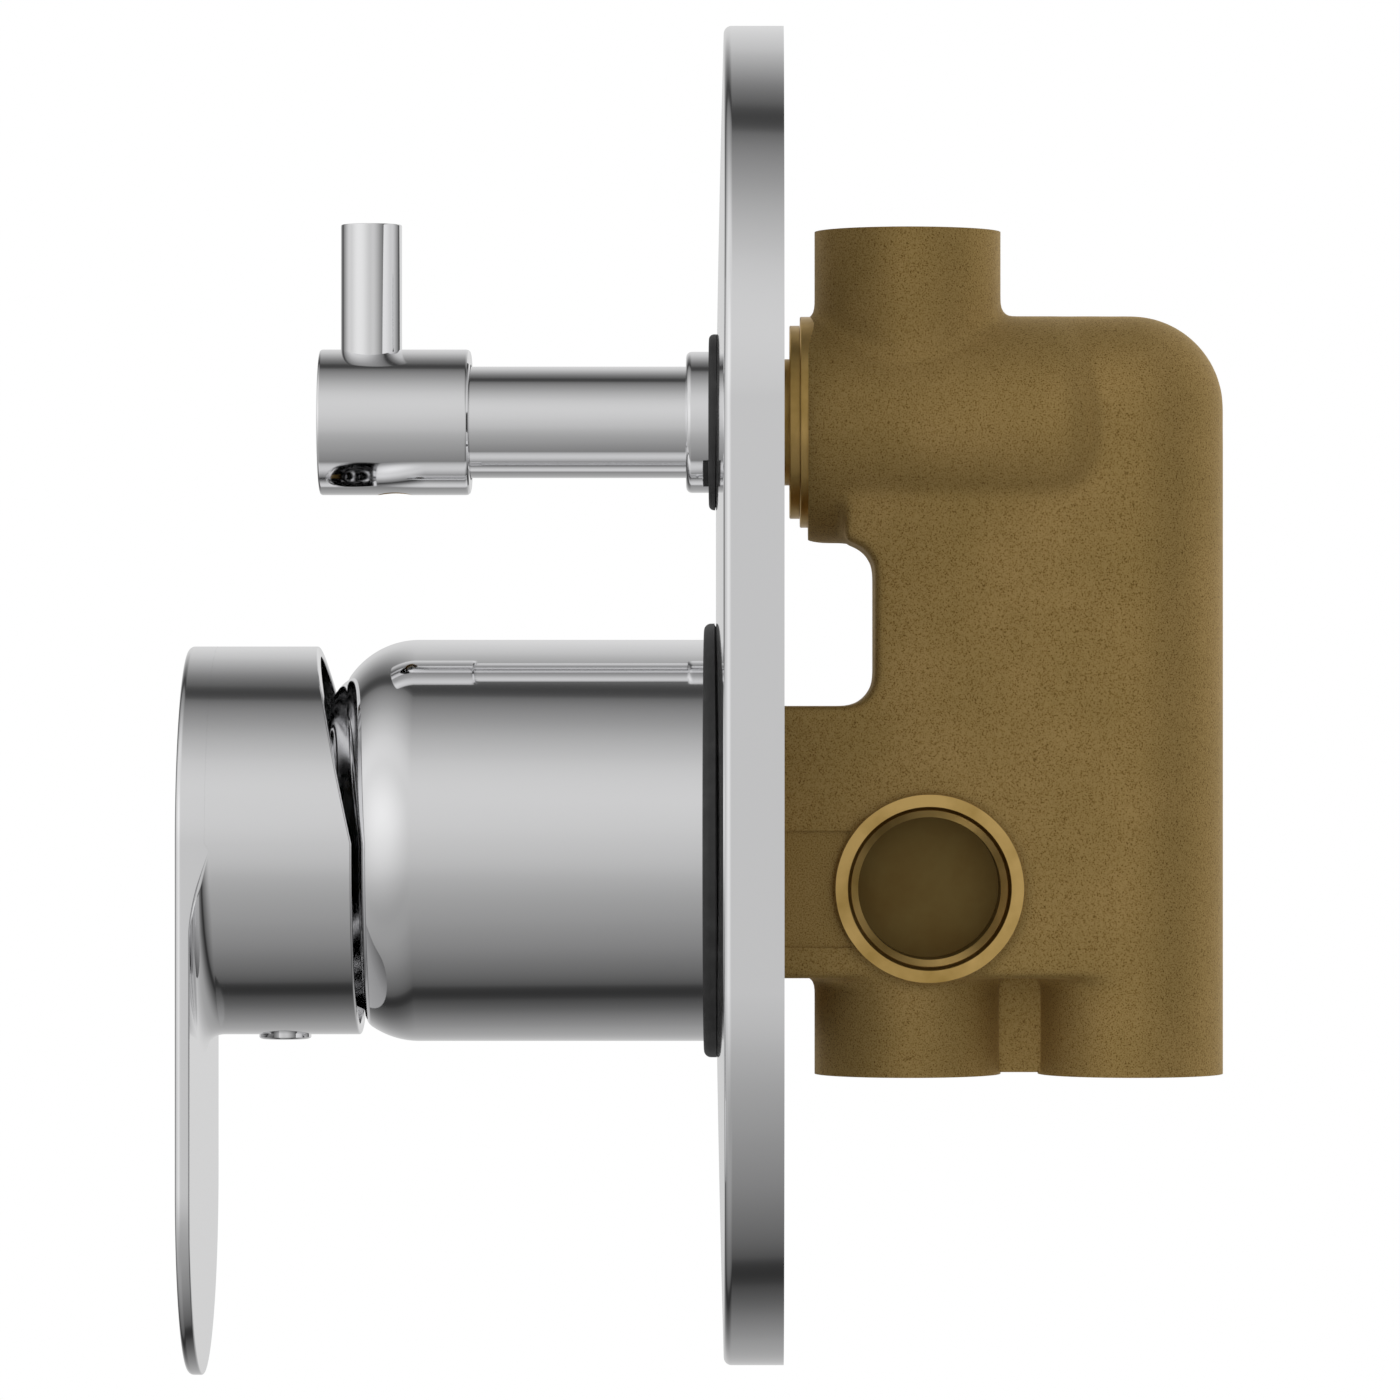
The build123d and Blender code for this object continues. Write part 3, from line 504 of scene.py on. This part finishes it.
bpy.ops.object.select_all(action="DESELECT")
bpy.ops.mesh.primitive_circle_add(
    vertices=ring_size, radius=end_radius * MM, location=(0, 0, plate_rise * MM),
    rotation=(pi / 2, pi / ring_size, 0),
)
shell = settle(bpy.context.object, "wall_plate")
inset_steps = [0.0] + [edge_round * (1 - cos(radians(a))) for a in range(0, 91, 15)]
inset_steps += [1.5, 3, 6, 10, 15, 20, 25, 30, 35, 40, 45, 49, end_radius]
rise_steps = [0.0] + [edge_round * (1 - sin(radians(a))) for a in range(0, 91, 15)]
rise_steps += [0.0] * (len(inset_steps) - len(rise_steps))
bpy.ops.object.mode_set(mode="EDIT")
for _ in inset_steps[1:]:
    bpy.ops.mesh.extrude_region_move(TRANSFORM_OT_translate={"value": (0, -MM, 0)})
bpy.ops.object.mode_set(mode="OBJECT")
for number, vertex in enumerate(shell.data.vertices):
    level = number // ring_size
    upper = 1 if vertex.co.z > plate_rise * MM else -1
    shrink = 1 - inset_steps[level] / end_radius
    x = vertex.co.x / MM * shrink
    z = plate_rise + upper * half_straight + (vertex.co.z / MM - plate_rise) * shrink
    vertex.co.x = x * MM
    vertex.co.z = z * MM
    vertex.co.y = 0 if level == 0 else (crown(x, z) + rise_steps[level]) * MM
bpy.ops.object.mode_set(mode="EDIT")
bpy.ops.mesh.select_all(action="SELECT")
bpy.ops.mesh.remove_doubles(threshold=0.002 * MM)
bpy.ops.mesh.normals_make_consistent(inside=False)
bpy.ops.object.mode_set(mode="OBJECT")
finish_with(shell, "SOLIDIFY", thickness=plate_sheet * MM, offset=-1)
cut(shell, rod(sleeve_hole, (0, -12, 0), (0, 1, 0), 192))
cut(shell, rod(collar_hole, (0, -12, diverter_height), (0, 1, diverter_height)))
smooth(shell, 35)
dress(shell, [chrome_plate], "root", ["plate"])


# Gaskets
# Black rubber rings, moulded, one under the sleeve and one under the diverter's collar. Each
# has a rounded lip on the face of the plate and a neck in the plate's hole. A small lug on
# the second sits in a notch of the collar.
def black_rubber():
    """Moulded rubber: nearly black, matt, with a faint bloom."""
    moulded, tree, place = blank_material("black_nitrile_rubber")
    bloom_size, grain_size = 3, 0.3
    bloom = add(tree, "TexNoise", {"Vector": place, "Scale": 1 / (bloom_size * MM), "Detail": 5.0})
    tone = add(tree, "ValToRGB", {"Fac": bloom.outputs["Fac"]})
    colour_steps(tone, [(0.3, "#232323"), (0.55, "#2c2c2c"), (0.8, "#383838")])
    grain = add(tree, "TexNoise", {"Vector": place, "Scale": 1 / (grain_size * MM), "Detail": 2.0})
    bump = add(tree, "Bump", {"Strength": 0.2, "Distance": 0.03 * MM,
                              "Height": grain.outputs["Fac"]})
    shader = add(tree, "BsdfPrincipled", {
        "Base Color": tone.outputs["Color"], "Roughness": 0.55, "Normal": bump.outputs[0],
    })
    add(tree, "OutputMaterial", {"Surface": shader.outputs[0]})
    return moulded


rubber = black_rubber()


def face_gasket(name, bore, neck, lip, front, edge, height, node):
    """A ring with a rounded lip whose back follows the crowned plate."""
    outline = [(-7.3, bore), (-7.3, neck), (-8.6, neck), (-8.7, lip - 0.15), (-9.0, lip)]
    outline += [
        (front + edge - edge * sin(radians(a)), lip - edge + edge * cos(radians(a)))
        for a in range(0, 91, 15)
    ]
    outline += [(front, bore + 0.2), (front + 0.2, bore)]
    ring = turned(name, outline, height)
    for vertex in ring.data.vertices:
        x, y, z = [c / MM for c in vertex.co]
        if y > -9.2 and hypot(x, z - height) > neck + 0.05:
            vertex.co.y = min(y, crown(x, z) - 0.01) * MM
    smooth(ring, 35)
    return dress(ring, [rubber], "root", [node])


face_gasket("sleeve_gasket_ring", bore=27.05, neck=sleeve_hole, lip=29.2, front=-10.7, edge=0.95,
            height=0, node="sleeve_gasket")
collar_gasket = face_gasket("collar_gasket_ring", bore=9.55, neck=collar_hole, lip=11.85,
                            front=-10.05, edge=0.7, height=diverter_height, node="diverter_gasket")
lug = slab((3.2, -10.8, diverter_height - 8.7), (9.6, -9.8, diverter_height - 5.5))
lug.data.materials.append(rubber)
cut(lug, rod(9.62, (0, -12, diverter_height), (0, -8, diverter_height)), "INTERSECT")
cut(lug, rod(8.95, (0, -12, diverter_height), (0, -8, diverter_height)))
cut(collar_gasket, lug, "UNION")


# Sleeve
# Brass tube, spun in at the front to a round shoulder, polished and chromed. Its rolled lip is
# square to the tube below and leans forward above, under the lever's hub.
def skin(name, columns, points):
    """A skin of closed rings: points(column) gives one column's points, from row to row."""
    grid = [points(column) for column in columns]
    rows = len(grid[0])
    bpy.ops.object.select_all(action="DESELECT")
    bpy.ops.mesh.primitive_grid_add(x_subdivisions=rows - 1, y_subdivisions=len(grid), size=MM)
    piece = bpy.context.object
    across = len(piece.data.vertices) // (len(grid) + 1)
    for number, vertex in enumerate(piece.data.vertices):
        column, row = divmod(number, across)
        vertex.co = [value * MM for value in grid[column % len(grid)][min(row, rows - 1)]]
    bpy.ops.object.mode_set(mode="EDIT")
    bpy.ops.mesh.select_all(action="SELECT")
    bpy.ops.mesh.remove_doubles(threshold=0.0005 * MM)
    bpy.ops.mesh.normals_make_consistent(inside=False)
    bpy.ops.object.mode_set(mode="OBJECT")
    piece.name = name
    piece.data.name = name
    return piece


sleeve_radius, sleeve_wall = 27.0, 1.0
sleeve_rear, rear_edge = -2.0, 0.2
shoulder_y, shoulder_round = -49.0, 11.2
sleeve_lip, lip_round, lip_lean = -56.0, 0.85, tan(radians(7))
shoulder_centre = sleeve_radius - shoulder_round


def lip_angle(up, radius):
    """How far the shoulder's arc runs before it meets the cut lip, on one side of the sleeve."""
    angle = 0.6
    for _ in range(20):
        level = (shoulder_centre + radius * cos(angle)) * up
        angle = asin((shoulder_y - sleeve_lip + max(level, 0) * lip_lean) / radius)
    return angle


def sleeve_column(turn):
    """The sleeve's section at a turn round it: outside, shoulder, rolled lip and inside."""
    up, out = sin(turn), cos(turn)
    bore = sleeve_radius - sleeve_wall
    inner = shoulder_round - sleeve_wall
    outer_end, inner_end = lip_angle(up, shoulder_round), lip_angle(up, inner)
    profile = [
        (sleeve_rear, bore + rear_edge), (sleeve_rear, sleeve_radius - rear_edge),
        (sleeve_rear - rear_edge, sleeve_radius), (-20, sleeve_radius), (-40, sleeve_radius),
    ]
    for step in range(25):
        angle = (outer_end - lip_round / shoulder_round) * step / 24
        profile.append((shoulder_y - shoulder_round * sin(angle),
                        shoulder_centre + shoulder_round * cos(angle)))
    start_y, start_r = profile[-1]
    tip_y = shoulder_y - shoulder_round * sin(outer_end)
    tip_r = shoulder_centre + shoulder_round * cos(outer_end)
    end_y = shoulder_y - inner * sin(inner_end)
    end_r = shoulder_centre + inner * cos(inner_end)
    flat = lip_round / hypot(end_y - tip_y, end_r - tip_r)
    stop_y, stop_r = tip_y + (end_y - tip_y) * flat, tip_r + (end_r - tip_r) * flat
    for step in range(1, 7):
        t = step / 6
        near, mid, far = (1 - t) ** 2, 2 * t * (1 - t), t * t
        profile.append((start_y * near + tip_y * mid + stop_y * far,
                        start_r * near + tip_r * mid + stop_r * far))
    profile.append((end_y, end_r))
    for step in range(1, 13):
        angle = inner_end * (1 - step / 12)
        profile.append((shoulder_y - inner * sin(angle), shoulder_centre + inner * cos(angle)))
    profile += [(-20, bore), (sleeve_rear - rear_edge, bore), (sleeve_rear, bore + rear_edge)]
    return [(r * out, y, r * up) for y, r in profile]


turns = [2 * pi * i / 256 for i in range(256)]
sleeve = skin("sleeve_shroud", turns, sleeve_column)
smooth(sleeve, 40)
dress(sleeve, [chrome_plate], "root", ["sleeve"])


# Dome cover
# A chromed cap with a round shoulder that closes the gap between sleeve and stem. It shows
# only as a curved mirror in the wedge between hub and sleeve.
dome_outline = [
    (-40.0, 24.4), (-40.0, 25.6), (-46.0, 25.6), (-48.0, 25.45), (-50.0, 25.1), (-52.0, 24.6),
    (-54.0, 23.9), (-55.5, 23.2), (-57.0, 22.5), (-58.0, 21.95), (-58.9, 21.35), (-59.6, 20.7),
    (-60.15, 19.95), (-60.55, 19.1), (-60.85, 18.1), (-61.1, 17.0), (-61.4, 15.5), (-61.6, 14.3),
    (-61.55, 14.05), (-61.35, 14.0), (-60.4, 14.0), (-60.1, 16.0), (-59.6, 18.0), (-58.8, 19.5),
    (-57.5, 20.8), (-55.5, 21.9), (-53.0, 22.9), (-50.0, 23.9), (-47.5, 24.4),
]
dome = turned("dome_ring", dome_outline)
smooth(dome, 40)
dress(dome, [chrome_plate], "root", ["dome_cover"])


# Lever handle
# One casting, polished and chromed: a hollow hub and a flat blade as wide as the hub, with a
# hollow fillet where the blade leaves the hub's underside.
hub, hub_inner = 26.1, 24.7
hub_front, hub_back, hub_floor = -80.0, -56.8, -77.0
hub_lean = tan(radians(12.2))
blade_back, tip_drop, blade_fillet = -78.0, 45.8, 2.8
stem_boss, boss_back, boss_edge = 7.5, -63.6, 0.2
socket, socket_floor = 3.85, -75.1
front_round, back_round, rim_round, floor_round = 0.8, 0.25, 0.3, 1.2
hair = 0.02


def handle_outline():
    """Points round the handle seen from the front, each with its outward direction."""
    points = []
    for i in range(144):
        turn = pi * i / 144
        points.append((hub * cos(turn), hub * sin(turn), cos(turn), sin(turn)))
    for i in range(48):
        points.append((-hub, -tip_drop * i / 48, -1.0, 0.0))
    for i in range(144):
        turn = pi + pi * i / 144
        points.append((hub * cos(turn), -tip_drop + hub * sin(turn), cos(turn), sin(turn)))
    for i in range(48):
        points.append((hub, -tip_drop * (1 - i / 48), 1.0, 0.0))
    return points


def fillet_y(beyond):
    """Y of the hollow fillet at a distance beyond the hub's side."""
    if beyond >= blade_fillet:
        return blade_back
    return blade_back + blade_fillet - sqrt(blade_fillet ** 2 - (blade_fillet - beyond) ** 2)


def quarter(steps, first=1):
    """Sine and cosine at even steps of a quarter turn."""
    return [(sin(pi / 2 * i / steps), cos(pi / 2 * i / steps)) for i in range(first, steps + 1)]


def handle_column(column):
    """The handle's skin one way from its middle: face, blade, hub, hollow, boss and socket.

    Where the blade ends at the hub its rows are kept a hair apart, so that none is lost.
    """
    x, z, out_x, out_z = column
    reach = hypot(x, z)
    dx, dz = x / reach, z / reach
    blade = max(reach - hub, 0)
    on_blade = blade > 0.0005

    def ray(radius, y):
        return dx * radius, y, dz * radius

    rows = [(x * share, hub_front, z * share) for share in (0, 0.25, 0.5, 0.75, 0.92)]
    for sine, cosine in quarter(8, first=0):
        inward = front_round * (1 - sine)
        rows.append((x - out_x * inward, hub_front + front_round * (1 - cosine),
                     z - out_z * inward))
    edge_y = fillet_y(blade) if on_blade else blade_back + blade_fillet - 0.9
    soft = back_round * min(1, blade / 0.6)
    rows.append((x, edge_y - max(soft, hair), z))
    for sine, cosine in quarter(4):
        inward = soft * (1 - cosine)
        y = edge_y - soft + soft * sine + hair * (soft < hair)
        rows.append((x - out_x * inward, y, z - out_z * inward))
    wide = max(hypot(rows[-1][0], rows[-1][2]) - hub, 0)
    narrow = min(wide, blade_fillet)
    for share in (0.25, 0.5, 0.75):
        away = wide + (narrow - wide) * share
        rows.append(ray(hub + away, fillet_y(away) if on_blade else edge_y + hair * share))
    for step in range(13):
        away = narrow * (1 - sin(pi / 2 * step / 12))
        y = fillet_y(away) if on_blade else edge_y + hair + 0.8 * step / 12
        rows.append(ray(hub + away, y))
    root_y = rows[-1][1]
    rear = hub_back - max(hub * dz, 0) * hub_lean
    rear_inner = hub_back - max(hub_inner * dz, 0) * hub_lean
    for share in (0.3, 0.6, 1.0):
        rows.append(ray(hub, root_y + (rear - rim_round - root_y) * share))
    for sine, cosine in quarter(5):
        rows.append(ray(hub - rim_round * (1 - cosine), rear - rim_round * (1 - sine)))
    for sine, cosine in quarter(5, first=0):
        rows.append(ray(hub_inner + rim_round * (1 - sine), rear_inner - rim_round * (1 - cosine)))
    rows.append(ray(hub_inner, hub_floor + floor_round))
    for sine, cosine in quarter(5):
        rows.append(ray(hub_inner - floor_round * (1 - cosine),
                        hub_floor + floor_round * (1 - sine)))
    square = socket / max(abs(dx), abs(dz))
    rows += [
        ray(16, hub_floor), ray(stem_boss + boss_edge, hub_floor),
        ray(stem_boss, hub_floor + boss_edge), ray(stem_boss, boss_back - boss_edge),
        ray(stem_boss - boss_edge, boss_back), ray(square * 1.05, boss_back),
        ray(square, boss_back - boss_edge), ray(square, socket_floor), (0, socket_floor, 0),
    ]
    return rows


handle = skin("lever_handle_casting", handle_outline(), handle_column)
smooth(handle, 40)
chrome_inside = chrome("chrome_on_unpolished_casting", 0.12)
dress(handle, [chrome_plate, chrome_inside], "lever", ["lever_handle"])
for face in handle.data.polygons:
    x, y, z = [c / MM for c in face.center]
    if y > hub_floor - 0.5 and hypot(x, z) < hub_inner + 0.05:
        face.material_index = 1


# Index plug
# A small chromed cap, turned from brass. It closes the set screw's hole in the underside of
# the hub, where it is pushed in.
screw_y = -67.1
plug = turned("plug", [
    (-1.4, 0.0), (-1.4, 3.5), (0.35, 3.5), (0.5, 3.4), (0.62, 3.1), (0.65, 2.5), (0.5, 2.2),
    (0.5, 0.0),
])
plug.rotation_euler = (-pi / 2, 0, 0)
plug.location = (0, screw_y * MM, -hub * MM)
settle(plug, "index_cap")
smooth(plug, 30)
dress(plug, [chrome_plate], "lever", ["index_plug"])


# Diverter collar
# A ring turned from brass, polished and chromed, that is screwed up to the plate. A notch in
# its underside takes the lug of the gasket.
collar = turned("collar_ring", [
    (-13.1, 7.6), (-13.1, 8.75), (-13.04, 9.04), (-12.88, 9.28), (-12.64, 9.44), (-12.35, 9.5),
    (-3.0, 9.5), (-3.0, 8.6), (-9.9, 8.6), (-9.9, 7.6),
], diverter_height)
notch = slab((3.0, -10.85, diverter_height - 8.75), (12, -9.0, diverter_height - 5.45))
cut(notch, rod(8.9, (0, -12, diverter_height), (0, -8, diverter_height)))
cut(collar, notch)
smooth(collar, 30)
dress(collar, [chrome_plate], "root", ["diverter_collar"])


# Diverter neck
# A plain brass tube, polished and chromed, that reaches from the collar to the knob round
# the spindle. The collar holds the flange at its foot.
neck = turned("neck_tube", [
    (-44.0, 4.2), (-44.0, 7.3), (-43.8, 7.5), (-30.0, 7.5), (-9.8, 7.5), (-9.8, 8.5),
    (-8.3, 8.5), (-8.3, 4.2),
], diverter_height)
smooth(neck, 30)
dress(neck, [chrome_plate], "root", ["diverter_neck"])


# Diverter knob
# Turned from brass bar, polished and chromed. A set screw in its underside, in a plain brass
# hole, holds it on the spindle.
knob = turned("knob_body", [
    (-62.4, 0.0), (-62.4, 9.45), (-62.36, 9.62), (-62.24, 9.74), (-62.05, 9.8), (-42.7, 9.8),
    (-42.4, 9.72), (-42.18, 9.5), (-42.1, 9.2), (-42.1, 7.8), (-44.6, 7.8), (-44.6, 3.55),
    (-60.3, 3.55), (-60.3, 0.0),
], diverter_height)
knob.data.materials.append(chrome_plate)
knob_screw_y = -52.3
screw_hole = rod(2.35, (0, knob_screw_y, diverter_height - 12),
                 (0, knob_screw_y, diverter_height), 48)
screw_hole.data.materials.append(bright_brass)
cut(knob, screw_hole)
smooth(knob, 30)
dress(knob, [], "diverter", ["diverter_knob"])


# Diverter pin
# A round pin, turned from brass, polished and chromed, and fixed upright in the knob, which
# the hand turns by it.
pin_y = -55.5
pin = turned("pin", [
    (64.3, 0.0), (64.3, 4.1), (82.72, 4.1), (82.85, 4.05), (82.9, 3.92), (82.9, 0.0),
])
pin.rotation_euler = (pi / 2, 0, 0)
pin.location = (0, pin_y * MM, 0)
settle(pin, "turning_pin")
smooth(pin, 30)
dress(pin, [chrome_plate], "diverter", ["diverter_pin"])


# Hidden pieces
# The cartridge, discs, stem, nut, screws and seals stay as the frame holds them. Each has
# the finish of its real material, for the views in which one shows through a gap.
def plain_finish(name, colour, shade, metallic, roughness, grain_size):
    """A plain moulded, lapped or milled surface with a fine grain."""
    stuff, tree, place = blank_material(name)
    grain = add(tree, "TexNoise", {"Vector": place, "Scale": 1 / (grain_size * MM), "Detail": 4.0})
    tone = add(tree, "ValToRGB", {"Fac": grain.outputs["Fac"]})
    colour_steps(tone, [(0.35, shade), (0.5, colour), (0.65, colour)])
    bump = add(tree, "Bump", {"Strength": 0.1, "Distance": 0.02 * MM,
                              "Height": grain.outputs["Fac"]})
    shader = add(tree, "BsdfPrincipled", {
        "Base Color": tone.outputs["Color"], "Metallic": metallic, "Roughness": roughness,
        "Normal": bump.outputs[0],
    })
    add(tree, "OutputMaterial", {"Surface": shader.outputs[0]})
    return stuff


acetal = plain_finish("moulded_acetal", "#dcdcd6", "#cfcfc8", 0.0, 0.4, 0.8)
alumina = plain_finish("lapped_alumina", "#ece9df", "#e2ded2", 0.0, 0.15, 0.4)
steel = plain_finish("milled_stainless_steel", "#b9babb", "#a6a7a9", 1.0, 0.3, 0.25)
finishes = {
    bright_brass: ["cartridge_nut", "lever_stem", "diverter_spindle"],
    acetal: ["cartridge_base", "disc_carrier", "cartridge_housing", "cartridge_rotor",
             "diverter_cartridge"],
    alumina: ["fixed_disc", "moving_disc", "diverter_fixed_disc", "diverter_moving_disc"],
    steel: ["stem_pin", "handle_grub_screw", "knob_grub_screw"],
    rubber: ["cartridge_seal", "sleeve_o_ring", "diverter_seals"],
}
for material, names in finishes.items():
    for name in names:
        part = parts[name]
        if not part.material_slots:
            part.data.materials.append(material)
        for material_slot in part.material_slots:
            material_slot.material = material
